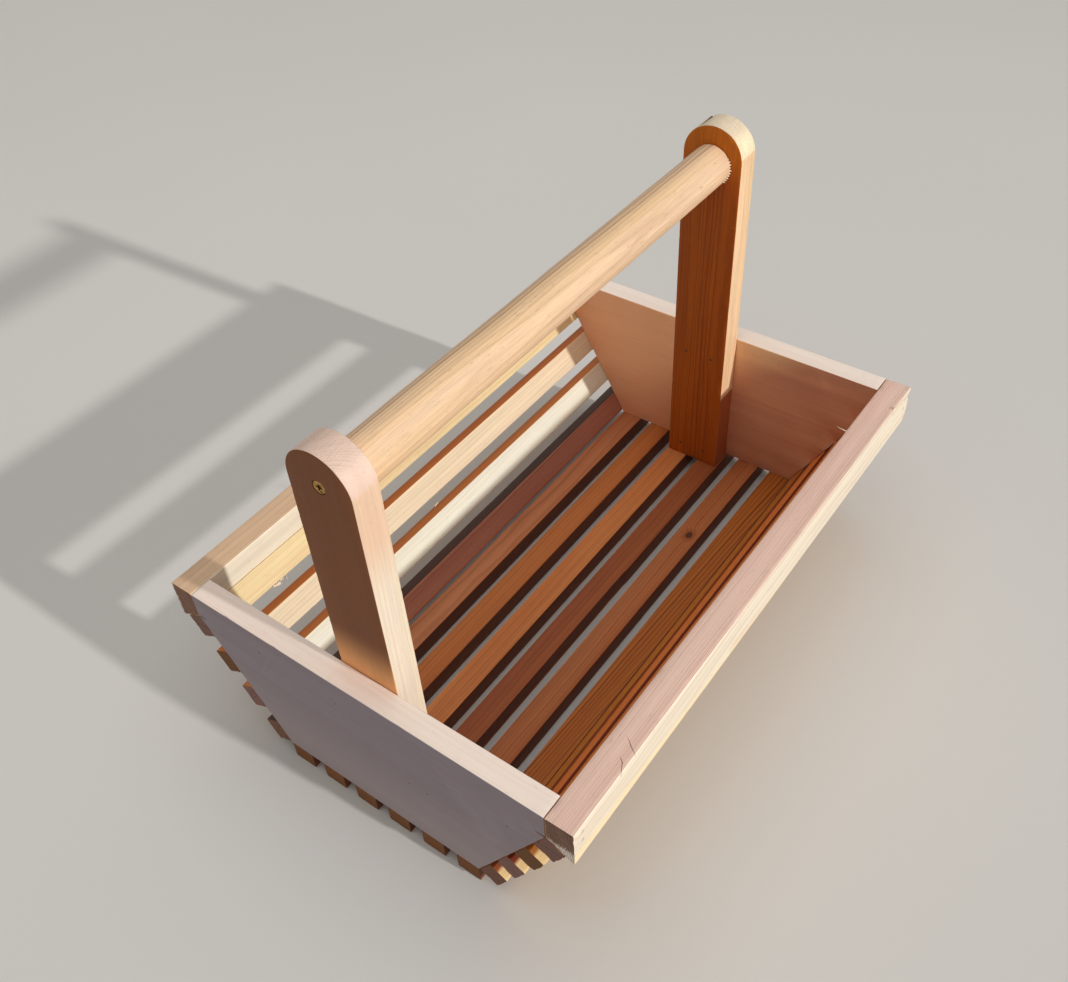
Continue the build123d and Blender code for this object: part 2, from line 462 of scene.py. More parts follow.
class Graph:
    """Short ways to add nodes to a node tree."""

    def __init__(self, tree):
        self.tree = tree

    def node(self, kind, inputs=None, **settings):
        made = self.tree.nodes.new("ShaderNode" + kind)
        for key, value in settings.items():
            setattr(made, key, value)
        for key, value in (inputs or {}).items():
            self.feed(made.inputs[key], value)
        return made

    def feed(self, socket, value):
        if isinstance(value, bpy.types.NodeSocket):
            self.tree.links.new(value, socket)
        else:
            socket.default_value = value

    def calc(self, operation, *values, clamp=False):
        inputs = dict(enumerate(values))
        return self.node("Math", inputs, operation=operation, use_clamp=clamp).outputs[0]

    def total(self, start, *terms):
        """start, plus each value of terms times its weight."""
        for value, weight in terms:
            start = self.calc("MULTIPLY_ADD", value, weight, start)
        return start

    def centred(self, value):
        """Noise from 0 to 1, moved to lie round zero."""
        return self.calc("SUBTRACT", value, 0.5)

    def vector(self, operation, *values):
        made = self.node("VectorMath", dict(enumerate(values)), operation=operation)
        return made.outputs[1 if operation in ("LENGTH", "DOT_PRODUCT") else 0]

    def scale(self, value, factor):
        return self.node("VectorMath", {0: value, "Scale": factor}, operation="SCALE").outputs[0]

    def split(self, value):
        return self.node("SeparateXYZ", {0: value}).outputs

    def join(self, x, y, z):
        return self.node("CombineXYZ", {0: x, 1: y, 2: z}).outputs[0]

    def noise(self, place, cycles, detail=2.0, roughness=0.5):
        """Noise with so many cycles to a unit of place, along each axis."""
        inputs = {"Vector": self.vector("MULTIPLY", place, cycles), "Scale": 1.0}
        inputs.update({"Detail": detail, "Roughness": roughness})
        return self.node("TexNoise", inputs).outputs["Fac"]

    def noise_line(self, value, scale):
        inputs = {"W": value, "Scale": scale, "Detail": 1.0}
        return self.node("TexNoise", inputs, noise_dimensions="1D").outputs["Fac"]

    def between(self, value, low, high, to_low=0.0, to_high=1.0):
        """Smooth step of value from low to high, given as to_low to to_high."""
        inputs = dict(enumerate((value, low, high, to_low, to_high)))
        return self.node("MapRange", inputs, interpolation_type="SMOOTHSTEP").outputs[0]

    def ramp(self, value, stops):
        """Grey ramp through (place, level) stops."""
        made = self.node("ValToRGB", {0: value})
        elements = made.color_ramp.elements
        while len(elements) < len(stops):
            elements.new(0.5)
        for element, (place, level) in zip(elements, stops):
            element.position = place
            element.color = (level, level, level, 1)
        return made.outputs[0]

    def blend(self, share, first, second, kind="MIX"):
        inputs = {"Factor": share, 6: first, 7: second}
        return self.node("Mix", inputs, data_type="RGBA", blend_type=kind).outputs[2]


GROUP_INPUTS = {
    "Vector": dict.fromkeys(("Place", "Seed", "Pith")),
    "Color": dict.fromkeys(("Early", "Late", "Blush", "Cut")),
    "Float": dict(
        End=0.0, Edge=0.0, Tilt=0.0, Taper=0.0, Swirl=0.0, Spacing=1.6, Warp=3.0, Rings=0.7, Fibre=0.25,
        Streak=0.3, Pore=0.25, CutRings=0.42,
    ),
}

# Noise in the wood: its shift per seed, and its cycles per millimetre along the grain and across it
GRAIN_SHIFTS = (91.7, 23.3, 41.9)
SLOW_WARP = (1 / 170, 1 / 24, 1 / 24)
QUICK_WARP = (1 / 38, 1 / 6, 1 / 6)
WARP_SHARES = (2.0, 0.24)
FIBRES = (1 / 46, 1.3, 1.3)
FINE_FIBRES = (1 / 15, 4.2, 4.2)
STREAKS = (1 / 230, 1 / 8, 1 / 8)
PORES = (1 / 6, 2.4, 2.4)
BLUSHES = (1 / 310, 1 / 15, 1 / 15)
SPECKLES = (0.05, 2.2, 2.2)
SAW_MARKS = (0.05, 0.12, 1.1)
RUBS = (1 / 24, 1 / 4, 1 / 4)

# Share of late wood across one ring, how unlike the rings are, and how much a distance along the grain counts
# round a knot
RING_LEVELS = ((0.0, 0.55), (0.07, 0.06), (0.38, 0.05), (0.72, 0.32), (0.93, 1.0), (1.0, 0.62))
RING_NOISE = 0.31
RING_UNEVEN = 2.2
WEAKEST_RING = 0.3
RING_SPREAD = 0.75
KNOT_SQUEEZE = 0.75

# Heights of the relief in millimetres, roughness, and the paler tint of rubbed edges
RING_RELIEF = 0.035
FIBRE_RELIEF = 0.10
FINE_RELIEF = 0.05
PORE_RELIEF = 0.10
SPECKLE_RELIEF = 0.35
SAW_RELIEF = 0.4
KNOT_RELIEF = 0.1
BORE_RELIEF = 0.3
METAL_RELIEF = 0.02
WOOD_ROUGH = 0.62
BORE_ROUGH = 0.85
RUBBED_TINT = (1.13, 1.12, 1.10, 1)


def growth_rings(g, source, place):
    """Share of late wood at a place, which rises and falls once in each ring."""
    u, v, w = g.split(source["Place"])
    pith_u, pith_v, pith_w = g.split(source["Pith"])
    along = g.calc("SUBTRACT", u, pith_u)
    v = g.calc("MULTIPLY_ADD", along, source["Tilt"], g.calc("SUBTRACT", v, pith_v))
    w = g.calc("SUBTRACT", w, pith_w)
    radius = g.calc("SQRT", g.calc("ADD", g.calc("MULTIPLY", v, v), g.calc("MULTIPLY", w, w)))
    slow = g.centred(g.noise(place, SLOW_WARP))
    quick = g.centred(g.noise(place, QUICK_WARP, 1.0))
    for bend, share in zip((slow, quick), WARP_SHARES):
        radius = g.total(radius, (bend, g.calc("MULTIPLY", source["Warp"], share)))
    radius = g.calc("ADD", g.total(radius, (along, source["Taper"])), source["Swirl"])
    phase = g.calc("DIVIDE", radius, source["Spacing"])
    phase = g.total(phase, (g.centred(g.noise_line(phase, RING_NOISE)), RING_UNEVEN))
    late = g.ramp(g.calc("FRACT", phase), RING_LEVELS)
    strength = g.node("TexWhiteNoise", {"W": g.calc("FLOOR", phase)}, noise_dimensions="1D")
    return g.calc("MULTIPLY", late, g.total(WEAKEST_RING, (strength.outputs["Value"], RING_SPREAD)))


def make_cedar_group():
    """Solid cedar. Place is in millimetres, with X along the grain. Rings turn about a line through Pith."""
    tree = bpy.data.node_groups.new("cedar_wood", "ShaderNodeTree")
    for kind, sockets in GROUP_INPUTS.items():
        for name, start in sockets.items():
            made = tree.interface.new_socket(name=name, in_out="INPUT", socket_type="NodeSocket" + kind)
            if start is not None:
                made.default_value = start
    for name, kind in (("Color", "Color"), ("Roughness", "Float"), ("Height", "Float")):
        tree.interface.new_socket(name=name, in_out="OUTPUT", socket_type="NodeSocket" + kind)
    source = tree.nodes.new("NodeGroupInput").outputs
    result = tree.nodes.new("NodeGroupOutput").inputs
    g = Graph(tree)
    place = g.vector("ADD", source["Place"], source["Seed"])
    ring = growth_rings(g, source, place)
    fibre = g.centred(g.noise(place, FIBRES, 3.0, 0.6))
    fine = g.centred(g.noise(place, FINE_FIBRES, 2.0, 0.6))
    tone = g.centred(g.noise(place, STREAKS))
    dash = g.between(g.noise(place, PORES, 1.0), 0.70, 0.80)
    flush = g.between(g.noise(place, BLUSHES), 0.35, 0.68)
    early = g.blend(flush, source["Early"], source["Blush"])
    face = g.blend(g.calc("MULTIPLY", ring, source["Rings"], clamp=True), early, source["Late"])
    fine_level = g.calc("MULTIPLY", source["Fibre"], 0.8)
    level = g.total(1.0, (fibre, source["Fibre"]), (fine, fine_level), (tone, source["Streak"]))
    level = g.calc("SUBTRACT", level, g.calc("MULTIPLY", dash, source["Pore"]))
    speckle = g.noise(place, SPECKLES, 3.0, 0.7)
    saw = g.noise(place, SAW_MARKS)
    cut_level = g.calc("SUBTRACT", 1.0, g.calc("MULTIPLY", ring, source["CutRings"]))
    rough_cut = g.calc("MULTIPLY", source["CutRings"], 1.7)
    saw_cut = g.calc("MULTIPLY", rough_cut, 0.5)
    cut_level = g.total(cut_level, (g.centred(speckle), rough_cut), (g.centred(saw), saw_cut))
    colour = g.blend(source["End"], g.scale(face, level), g.scale(source["Cut"], cut_level))
    rub = g.calc("MULTIPLY", source["Edge"], g.between(g.noise(place, RUBS), 0.35, 0.7))
    pale = g.blend(1.0, colour, RUBBED_TINT, "MULTIPLY")
    colour = g.blend(g.calc("MULTIPLY", rub, 0.8), colour, pale)
    rough = g.total(WOOD_ROUGH, (ring, -0.10), (fibre, 0.35))
    rough = g.calc("MULTIPLY_ADD", source["End"], 0.22, rough, clamp=True)
    height = g.calc("MULTIPLY", ring, RING_RELIEF)
    height = g.total(height, (fibre, FIBRE_RELIEF), (fine, FINE_RELIEF), (dash, -PORE_RELIEF))
    end_height = g.total(g.calc("MULTIPLY", saw, SAW_RELIEF), (speckle, SPECKLE_RELIEF))
    height = g.total(height, (source["End"], g.calc("SUBTRACT", end_height, height)))
    g.feed(result["Color"], colour)
    g.feed(result["Roughness"], rough)
    g.feed(result["Height"], height)
    return tree


cedar_group = make_cedar_group()


def new_material(name):
    made = bpy.data.materials.new(name)
    made.use_nodes = True
    made.node_tree.nodes.clear()
    return made, Graph(made.node_tree)


def finish_material(g, colour, rough, height, depth=1.0, **extra):
    bump = g.node("Bump", {"Strength": 1.0, "Distance": MM * depth, "Height": height})
    shader = g.node("BsdfPrincipled", {"Base Color": colour, "Roughness": rough, "Normal": bump.outputs[0]})
    for key, value in extra.items():
        g.feed(shader.inputs[key.replace("_", " ")], value)
    g.node("OutputMaterial", {0: shader.outputs[0]})


def object_place(g):
    """Place on the object, in millimetres."""
    return g.scale(g.node("TexCoord").outputs["Object"], 1 / MM)


def fade(kind, axis, start, stop, colour=None, cut=None, slant=0.0, wobble=0.0):
    """From start to stop along an axis, faces of a kind (broad, narrow or all) turn to a colour, and the end
    grain to a cut. The border slants along the grain and wobbles."""
    return kind, axis, start, stop, colour, cut, slant, wobble


def knot_distance(g, place, knot):
    """Distance from a knot, which counts less along the grain."""
    along = g.calc("MULTIPLY", g.calc("SUBTRACT", place[0], knot[0]), KNOT_SQUEEZE)
    across = g.calc("SUBTRACT", place[1], knot[1])
    return g.vector("LENGTH", g.join(along, across, 0.0))


def knot_swirl(g, away, radius):
    """How far a knot pushes the rings aside."""
    bulge = g.calc("EXPONENT", g.calc("MULTIPLY", g.calc("MULTIPLY", away, away), -1 / (2 * radius ** 2)))
    return g.calc("MULTIPLY", bulge, radius * 1.3)


def add_knot(g, place, away, knot, colour, height):
    """Lay a knot's dark heart and the brown round it over the wood's colour and height."""
    radius, strength = knot[2:]
    uneven = g.centred(g.noise(g.join(*place), (0.5, 0.5, 0.5)))
    edge = g.total(away, (uneven, 1.6))
    halo = g.between(edge, radius * 2.0, radius * 0.8)
    core = g.between(edge, radius * 0.85, radius * 0.6)
    rings = g.calc("SINE", g.calc("MULTIPLY", edge, 7.0))
    heart = g.blend(g.total(0.4, (rings, 0.3)), tint(84, 44, 24), tint(40, 20, 12))
    colour = g.blend(g.calc("MULTIPLY", halo, 0.5 * strength), colour, tint(120, 62, 30))
    colour = g.blend(g.calc("MULTIPLY", core, strength), colour, heart)
    return colour, g.total(height, (core, g.total(-KNOT_RELIEF, (rings, KNOT_RELIEF))))


def cedar(
    name, grain, seed, early, late, blush, cut, pith, faces=None, fades=(), knot=None, lines=None, torn=None,
    one_sided=False, **values
):
    """Cedar for one piece. faces is (way, early, late, blush) for the broad faces, where these differ. With
    one_sided, only the face that looks along way is broad. knot is (along, across, radius, strength), and
    lines is (axis, start, stop, low, high), along which the strength of the rings rises. torn is the colour
    of split fibres, and values are more inputs of the node group.
    """
    made, g = new_material(name)
    spot = object_place(g)
    where = g.split(spot)
    facing = g.node("TexCoord").outputs["Normal"]
    place = [where[axis] for axis in (grain, *(axis for axis in range(3) if axis != grain))]
    end = g.between(g.calc("ABSOLUTE", g.split(facing)[grain]), 0.55, 0.85)
    colours = [tint(*colour) for colour in (early, late, blush)]
    if faces:
        across = g.vector("DOT_PRODUCT", facing, faces[0])
        if not one_sided:
            across = g.calc("ABSOLUTE", across)
        broad = g.between(across, 0.45, 0.75)
        colours = [g.blend(broad, edge, tint(*face)) for edge, face in zip(colours, faces[1:])]
    cut = tint(*cut)
    for kind, axis, start, stop, colour, fade_cut, slant, wobble in fades:
        uneven = g.centred(g.noise(spot, (0.9, 0.9, 0.9), 3.0, 0.7))
        share = g.between(g.total(where[axis], (uneven, wobble), (where[grain], slant)), start, stop)
        if kind == "broad":
            share = g.calc("MULTIPLY", share, broad)
        if kind == "narrow":
            share = g.calc("MULTIPLY", share, g.calc("SUBTRACT", 1.0, broad))
        if colour:
            colours = [g.blend(share, before, tint(*colour)) for before in colours]
        if fade_cut:
            cut = g.blend(share, cut, tint(*fade_cut))
    mark = g.node("Attribute", attribute_name="edge").outputs["Fac"]
    if torn:
        split = g.between(mark, 1.3, 1.7)
        colours = [g.blend(split, before, tint(*torn)) for before in colours]
    inputs = {"Place": g.join(*place), "Pith": pith, "End": end, "Cut": cut}
    inputs["Seed"] = [seed * number for number in GRAIN_SHIFTS]
    inputs["Edge"] = g.calc("MINIMUM", mark, 1.0)
    inputs.update(zip(("Early", "Late", "Blush"), colours))
    inputs.update(values)
    if lines:
        inputs["Rings"] = g.between(where[lines[0]], *lines[1:])
    if knot:
        away = knot_distance(g, place, knot)
        inputs["Swirl"] = knot_swirl(g, away, knot[2])
    wood = g.tree.nodes.new("ShaderNodeGroup")
    wood.node_tree = cedar_group
    for key, value in inputs.items():
        g.feed(wood.inputs[key], value)
    colour, rough, height = wood.outputs
    if knot:
        colour, height = add_knot(g, place, away, knot, colour, height)
    finish_material(g, colour, rough, height, IOR=1.5, Specular_IOR_Level=0.3)
    return made


def metal(name, base, dark, rough, scale, metallic=1.0):
    """Bright metal with fine turning marks, slight tarnish and uneven roughness."""
    made, g = new_material(name)
    place = object_place(g)
    stain = g.between(g.noise(place, (0.5 * scale,) * 3, 3.0, 0.6), 0.42, 0.66)
    marks = g.noise(place, (2.0 * scale, 7.0 * scale, 7.0 * scale))
    colour = g.blend(stain, tint(*base), tint(*dark))
    roughness = g.total(rough, (stain, 0.22), (g.centred(marks), 0.2))
    finish_material(g, colour, roughness, g.calc("MULTIPLY", marks, METAL_RELIEF), Metallic=metallic)
    return made


def make_bore_painted_shade():
    """Rough wood inside saw kerfs, cracks, pits and screw holes, painted dark as the shade that falls in
    these hollows.
    """
    made, g = new_material("bore_painted_shade")
    mottle = g.noise(object_place(g), (1.1, 1.1, 1.1), 3.0, 0.65)
    colour = g.blend(g.between(mottle, 0.3, 0.7), tint(40, 25, 18), tint(72, 46, 33))
    height = g.calc("MULTIPLY", mottle, BORE_RELIEF)
    finish_material(g, colour, BORE_ROUGH, height, IOR=1.5, Specular_IOR_Level=0.2)
    return made


bore_painted_shade = make_bore_painted_shade()

# Pieces


def add_piece(node, skin, grain, seed, look, cutters=()):
    """Replace a node by a finer mesh with cedar of its own."""
    piece = new_object(node + "_wood", skin.mesh(node + "_wood"))
    piece.data.materials.append(cedar(node + "_wood", grain, seed, **look))
    if cutters:
        carve(piece, cutters)
    piece.data.shade_smooth()
    piece.data.set_sharp_from_angle(angle=SHARP_ANGLE)
    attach(piece, "root")
    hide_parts(node)


sides = {"left": 1, "right": -1}
ends = {"front": -1, "back": 1}
TONES = ("early", "late", "blush")

# A place on a piece's top for a knot or a curl of the grain: along, across, radius and strength
KNOT_PLACE = (106.9, -47.1, 3.9, 0.85)
KNOT_DEPTH = 0.25
SWIRL_PLACE = (197.4, -162.4, 1.3, 0.2)

# Floor slats: early, late and blush colours of their faces, darkened in part as painted shade, pith place and
# ring values
FLOOR_RINGS = dict(Rings=0.8, Fibre=0.36)
FLOOR_LOOKS = (
    ((193, 119, 76), (138, 74, 42), (200, 131, 89), (0, 60, 90), dict(Spacing=2.6)),
    ((188, 106, 50), (126, 59, 24), (197, 120, 62), (0, 120, 60), dict(Spacing=2.2)),
    ((219, 141, 80), (158, 84, 42), (206, 124, 67), (0, -90, 60), dict(Spacing=2.0)),
    ((163, 91, 48), (109, 52, 27), (150, 80, 45), (0, 30, 130), dict(Spacing=1.8)),
    ((180, 105, 58), (124, 60, 29), (188, 117, 71), (0, -150, -70), dict(Spacing=1.9, knot=KNOT_PLACE)),
    (
        (178, 100, 33), (94, 36, 6), (185, 108, 40), (0, -98, -6),
        dict(Spacing=2.1, Taper=0.024, Warp=1.8, Rings=1.0),
    ),
)
# The sawn sides, darkened as painted shade in the gaps between the slats
FLOOR_SIDES_PAINTED_SHADE = ((126, 72, 44), (90, 46, 26), (118, 68, 44))
FLOOR_CUT = (137, 88, 49)
WANE_START = 44.0
WANE_RUN = 3.0
WANE_DEPTH = 1.3
WANE_FACING = 0.3


def wane(point, normal):
    """The sawn edge of one floor slat falls short over part of its length."""
    if normal.y > -WANE_FACING:
        return 0.0
    share = min(1.0, max(0.0, (WANE_START - point.x) / WANE_RUN))
    return WANE_DEPTH * share * max(0.0, -normal.y)


def knot_hollow(point, normal):
    """The top of another floor slat dips at its knot."""
    away = math.hypot(point.x - KNOT_PLACE[0], point.y - KNOT_PLACE[1])
    return KNOT_DEPTH * math.exp(-(away / KNOT_PLACE[2]) ** 2) if normal.z > 0.5 else 0.0


FLOOR_FORMS = {3: wane, 4: knot_hollow}

for index, (low, high) in enumerate(floor_slats):
    outline, eased = rounded(rectangle(low.y, 0, high.y, high.z), [SLAT_EASE] * 4, STEP)
    skin = sweep(outline, eased, -half_length, half_length, STEP, CUT_EASE, SLAT_END_STEP)
    wear(skin, X, index + 1, SLAT_SAW, FLOOR_FORMS.get(index))
    early, late, blush, pith, rings = FLOOR_LOOKS[index]
    look = dict(zip(TONES, FLOOR_SIDES_PAINTED_SHADE), cut=FLOOR_CUT, pith=pith, **(FLOOR_RINGS | rings))
    look["faces"] = (AXIS_Z, early, late, blush)
    add_piece(f"floor_slat_{index + 1}", skin, X, index + 1, look)

# Side slats, whose sawn edges are browner than their planed faces. The fourth left slat's top edge, and the
# inner faces and inner part of the edges on the right wall, are darkened as painted shade; the outer part of
# the right slats is painted sunlit.
SIDE_FACES = (
    ((238, 216, 166), (220, 182, 128), (236, 209, 160)),
    ((240, 221, 188), (212, 175, 132), (236, 209, 178)),
    ((240, 238, 222), (220, 205, 174), (239, 235, 209)),
    ((190, 129, 105), (148, 92, 70), (180, 118, 97)),
)
SIDE_EDGES = (
    ((232, 196, 146), (200, 156, 108), (228, 192, 150)),
    ((222, 128, 38), (172, 88, 22), (212, 120, 42)),
    ((230, 146, 62), (178, 98, 38), (220, 138, 64)),
    # The fourth slat's top edge is darkened as painted shade
    ((80, 42, 22), (56, 28, 14), (74, 40, 22)),
)
# Right wall: inner faces and the inner part of the edges, darkened as painted shade
RIGHT_UPPER_FACE_PAINTED_SHADE = ((232, 138, 66), (186, 98, 36), (224, 132, 62))
RIGHT_FACES_PAINTED_SHADE = (
    RIGHT_UPPER_FACE_PAINTED_SHADE,
    RIGHT_UPPER_FACE_PAINTED_SHADE,
    ((236, 136, 66), (188, 98, 38), (228, 132, 64)),
    ((206, 128, 51), (160, 88, 28), (198, 124, 50)),
)
RIGHT_UPPER_EDGE_PAINTED_SHADE = ((171, 102, 37), (126, 66, 20), (160, 94, 34))
RIGHT_EDGES_PAINTED_SHADE = (
    RIGHT_UPPER_EDGE_PAINTED_SHADE,
    RIGHT_UPPER_EDGE_PAINTED_SHADE,
    ((120, 44, 10), (88, 28, 6), (112, 42, 10)),
    ((150, 72, 20), (112, 48, 12), (142, 68, 20)),
)
# The outer part of the right slats, painted as sunlit
SUNLIT_EDGE = (240, 204, 146)
SUNLIT_START = 5.0
SUNLIT_STOP = 7.5
SIDE_CUTS = ((139, 103, 90), (126, 85, 50), (146, 108, 97), (137, 97, 77))
SIDE_RINGS = dict(Spacing=3.2, Rings=0.55, Warp=4.0)
# The top slat's pith, out and up, and the step to the next slat's
SIDE_PITH = (150, 190)
SIDE_PITH_STEP = (40, -30)
TORN_WOOD = (250, 230, 208)
FRAY = 1.9
FRAY_REACH = 3.4
FRAY_CYCLES = (0.1, 0.42, 0.42)
FRAY_PLACE = (31, 5, 17)
FRAY_START = 0.05
FRAY_END_LOSS = 0.6

# Split fibres on the left wall: start, way, length, width and curl
SPLINTERS = {
    1: (
        ((-173.0, 135.4, 103.8), (1, -0.16, -0.28), 6.5, 2.0, -0.4),
        ((-171.0, 135.3, 103.7), (1, -0.36, -0.62), 4.6, 2.4, -0.3),
        ((-168.4, 135.3, 103.7), (0.8, -0.45, -0.80), 3.6, 2.2, 0.3),
        ((-166.2, 135.4, 103.8), (1, -0.10, -0.16), 4.2, 1.4, 0.5),
        ((-160.4, 135.6, 104.0), (-0.22, -0.49, -0.87), 5.6, 0.9, 0.2),
    ),
    3: (
        ((-21.4, 116.2, 68.2), (1, 0.10, 0.12), 4.6, 1.6, 0.5),
        ((-19.0, 116.6, 68.4), (1, -0.16, 0.10), 3.4, 1.2, 0.9),
    ),
}


def fray(point, normal):
    """Ragged saw cut at the ends of a slat or rail."""
    share = max(0.0, 1 - (half_length - abs(point.x)) / FRAY_REACH)
    rag = noise.noise(stretched(point, FRAY_CYCLES) + Vector(FRAY_PLACE))
    return FRAY * share * max(0.0, rag - FRAY_START) * (1.0 - FRAY_END_LOSS * abs(normal.x))


def side_slat(name, side, index):
    centre = slat_centres[index]
    along, thick = down * slat_width / 2, out * slat_thickness / 2
    top, foot = centre - along, centre + along
    corners = [top - thick, foot - thick, foot + thick, top + thick]
    eases = [SLAT_EASE, SLAT_EASE, SLAT_OUTER_EASE, SLAT_OUTER_EASE][::side]
    outline, eased = rounded(mirrored(corners, side), eases, STEP)
    skin = sweep(outline, eased, -half_length, half_length, STEP, CUT_EASE, SLAT_END_STEP)
    seed = SIDE_SEED + index * 2 + side
    wear(skin, X, seed, SLAT_SAW, fray)
    if side > 0:
        for start, way, *size in SPLINTERS.get(index + 1, ()):
            skin.add_spike(start, way, Vector((0, down.x, down.y)), *size)
    pith_out, pith_up = (first + step * index for first, step in zip(SIDE_PITH, SIDE_PITH_STEP))
    edges, faces = (SIDE_EDGES, SIDE_FACES) if side > 0 else (RIGHT_EDGES_PAINTED_SHADE, RIGHT_FACES_PAINTED_SHADE)
    look = dict(zip(TONES, edges[index]), cut=SIDE_CUTS[index], torn=TORN_WOOD, **SIDE_RINGS)
    look["pith"] = (0, side * pith_out, pith_up)
    look["faces"] = ((0, -side * out.x, -out.y), *faces[index])
    if side < 0:
        inner = -corners[0].x
        look["one_sided"] = True
        # The outer part of the right slats is painted sunlit
        look["fades"] = (fade("narrow", Y, inner - SUNLIT_START, inner - SUNLIT_STOP, SUNLIT_EDGE),)
    add_piece(name, skin, X, seed, look)


for name, side in sides.items():
    for index in range(4):
        side_slat(f"side_slat_{name}_{index + 1}", side, index)

# Rails
RAIL_CUT = (150, 112, 92)
# A whisker of wood inside the right rail: start, way, length, width and curl
WHISKER = ((155.3, -146.0, 142.1), (0.02, 1, 0.02), 9.0, 0.8, 0.9)
RAIL_LOOKS = {
    "left": dict(
        early=(226, 190, 156), late=(176, 122, 94), blush=(228, 196, 158), pith=(0, -260, 170), Spacing=1.5,
        faces=(AXIS_Y, (229, 205, 178), (202, 162, 121), (231, 213, 178)), CutRings=0.6,
        fades=(fade("broad", X, -70.0, -140.0, (247, 236, 212)),),
    ),
    "right": dict(
        early=(242, 210, 192), late=(190, 130, 114), blush=(238, 198, 182), pith=(0, 260, 70), Spacing=1.05,
        faces=(AXIS_Y, (242, 230, 208), (228, 201, 172), (240, 224, 200)), CutRings=0.9, knot=SWIRL_PLACE,
        fades=(
            fade("broad", Z, rail_low.z + 3.6, rail_low.z + 2.2, (255, 228, 184), slant=0.030, wobble=2.4),
            # Painted light: the lowest end grain is pale, as if sunlit
            fade("all", Z, notch.y + 1.2, notch.y - 1.0, cut=(255, 240, 226), wobble=18.0),
        ),
    ),
}
CRACK_WIDTH = 0.4
CRACK_DEPTH = 3.0
CUT_PAST = 1.0
CRACKS = (
    ((-158.2, -154.2), (-160.4, -157.3), (-162.2, -159.2), (-164.6, -162.6), (-166.3, -165.4)),
    ((-171.8, -158.3), (-173.2, -160.0), (-174.5, -161.5), (-178.6, -163.6), (-182.2, -165.4)),
)
rail_foot = notch.y - (rail_high.y - rail_low.y) * lean_tangent

for name, side in sides.items():
    corners = [
        Vector((notch_half, board_top)),
        Vector((notch_half, notch.y)),
        Vector((rail_high.y, rail_foot)),
        Vector((rail_high.y, board_top)),
    ]
    outline, eased = rounded(mirrored(corners, side), [RAIL_EASE] * 4, STEP)
    skin = sweep(outline, eased, -half_length, half_length, STEP, CUT_EASE, RAIL_END_STEP)
    seed = RAIL_SEED + side
    wear(skin, X, seed, RAIL_SAW, fray)
    cutters = []
    if side < 0:
        start, way, *size = WHISKER
        skin.add_spike(start, way, -Vector(AXIS_X), *size)
        for path in CRACKS:
            points = [Vector(point) for point in path]
            cutters.append(crack(points, CRACK_WIDTH, board_top - CRACK_DEPTH, board_top + CUT_PAST))
    look = dict(cut=RAIL_CUT, Rings=0.8, Warp=2.0, torn=TORN_WOOD, **RAIL_LOOKS[name])
    add_piece(f"rail_{name}", skin, X, seed, look, cutters)


# End boards, whose broad faces are darker than their planed edges, in part as painted shade. The front
# board's faces are painted paler towards the bottom as bounce light, and the back board's faces paler upwards
# and towards +Y as painted reflected light.
BOARD_LOOKS = {
    "front": dict(
        early=(255, 238, 224), late=(230, 199, 178), blush=(252, 231, 216), pith=(0, 140, 400), Spacing=3.4,
        # The broad faces are darkened in part as painted shade
        faces=(AXIS_X, (155, 142, 148), (143, 126, 128), (153, 137, 142)),
        # Painted bounce light: paler towards the bottom
        fades=(fade("broad", Z, 96.0, 24.0, (170, 155, 157)),), Streak=0.12, Fibre=0.14, Rings=0.3,
    ),
    "back": dict(
        early=(255, 240, 226), late=(224, 193, 172), blush=(250, 232, 217), pith=(0, 190, -260), Spacing=3.8,
        # The broad faces are darkened in part as painted shade
        faces=(AXIS_X, (212, 151, 115), (186, 119, 87), (200, 135, 106)),
        fades=(
            # Painted reflected light: paler upwards and towards +Y
            fade("broad", Z, 78.0, 122.0, (252, 208, 158), slant=0.6),
            fade("broad", Y, -90.0, 110.0, (255, 192, 148)),
        ),
        Streak=0.15, Fibre=0.15, Rings=0.3,
    ),
}
BOARD_CUT = (188, 142, 112)
BOARD_RADII = [BOARD_CORNER, BOARD_CORNER, BOARD_SEAM]
# A saw kerf runs on from each notch and narrows to a part of its width, between two shares of it
KERF_REACH = 7.0
KERF_WIDTH = 1.2
KERF_PAST = 0.6
KERF_LIFT = 0.02
KERF_END_SHARES = (0.3, 0.7)
# Pits in the front face: how far across and below the top
PITS = ((86.2, 20.4), (17.9, 23.1), (-35.6, 67.4), (-50.6, 65.9), (-116.7, 38.0))
PIT_PROFILE = ((-0.5, 0.55), (0.2, 0.55), (0.9, 0.1))
PIT_SIDES = 10

for name, end in ends.items():
    corners = [
        Vector((foot_half, board_low.z)),
        Vector((notch_half, notch.y)),
        Vector((notch_half, board_top)),
    ]
    outline, eased = rounded(corners + mirrored(corners, -1), BOARD_RADII + BOARD_RADII[::-1], BOARD_STEP)
    start, stop = sorted((end * board_low.x, end * board_high.x))
    skin = sweep(outline, eased, start, stop, STEP, BOARD_EASE, BOARD_STEP)
    seed = BOARD_SEED + end
    wear(skin, Y, seed, BOARD_SAW)
    cutters = []
    for side in sides.values():
        outer, inner = side * (notch_half + KERF_PAST), side * (notch_half - KERF_REACH)
        low, high = (notch.y + KERF_WIDTH * share for share in KERF_END_SHARES)
        wedge = [(outer, notch.y + KERF_LIFT), (outer, notch.y + KERF_WIDTH), (inner, high), (inner, low)]
        cutters.append(prism(wedge[::side], start - CUT_PAST, stop + CUT_PAST, X))
    if end < 0:
        for y, drop in PITS:
            cutters.append(lathe(PIT_PROFILE, Vector((start, y, board_top - drop)), end, PIT_SIDES))
    look = dict(cut=BOARD_CUT, Warp=5.0, **BOARD_LOOKS[name])
    add_piece(f"end_board_{name}", skin, Y, seed, look, cutters)
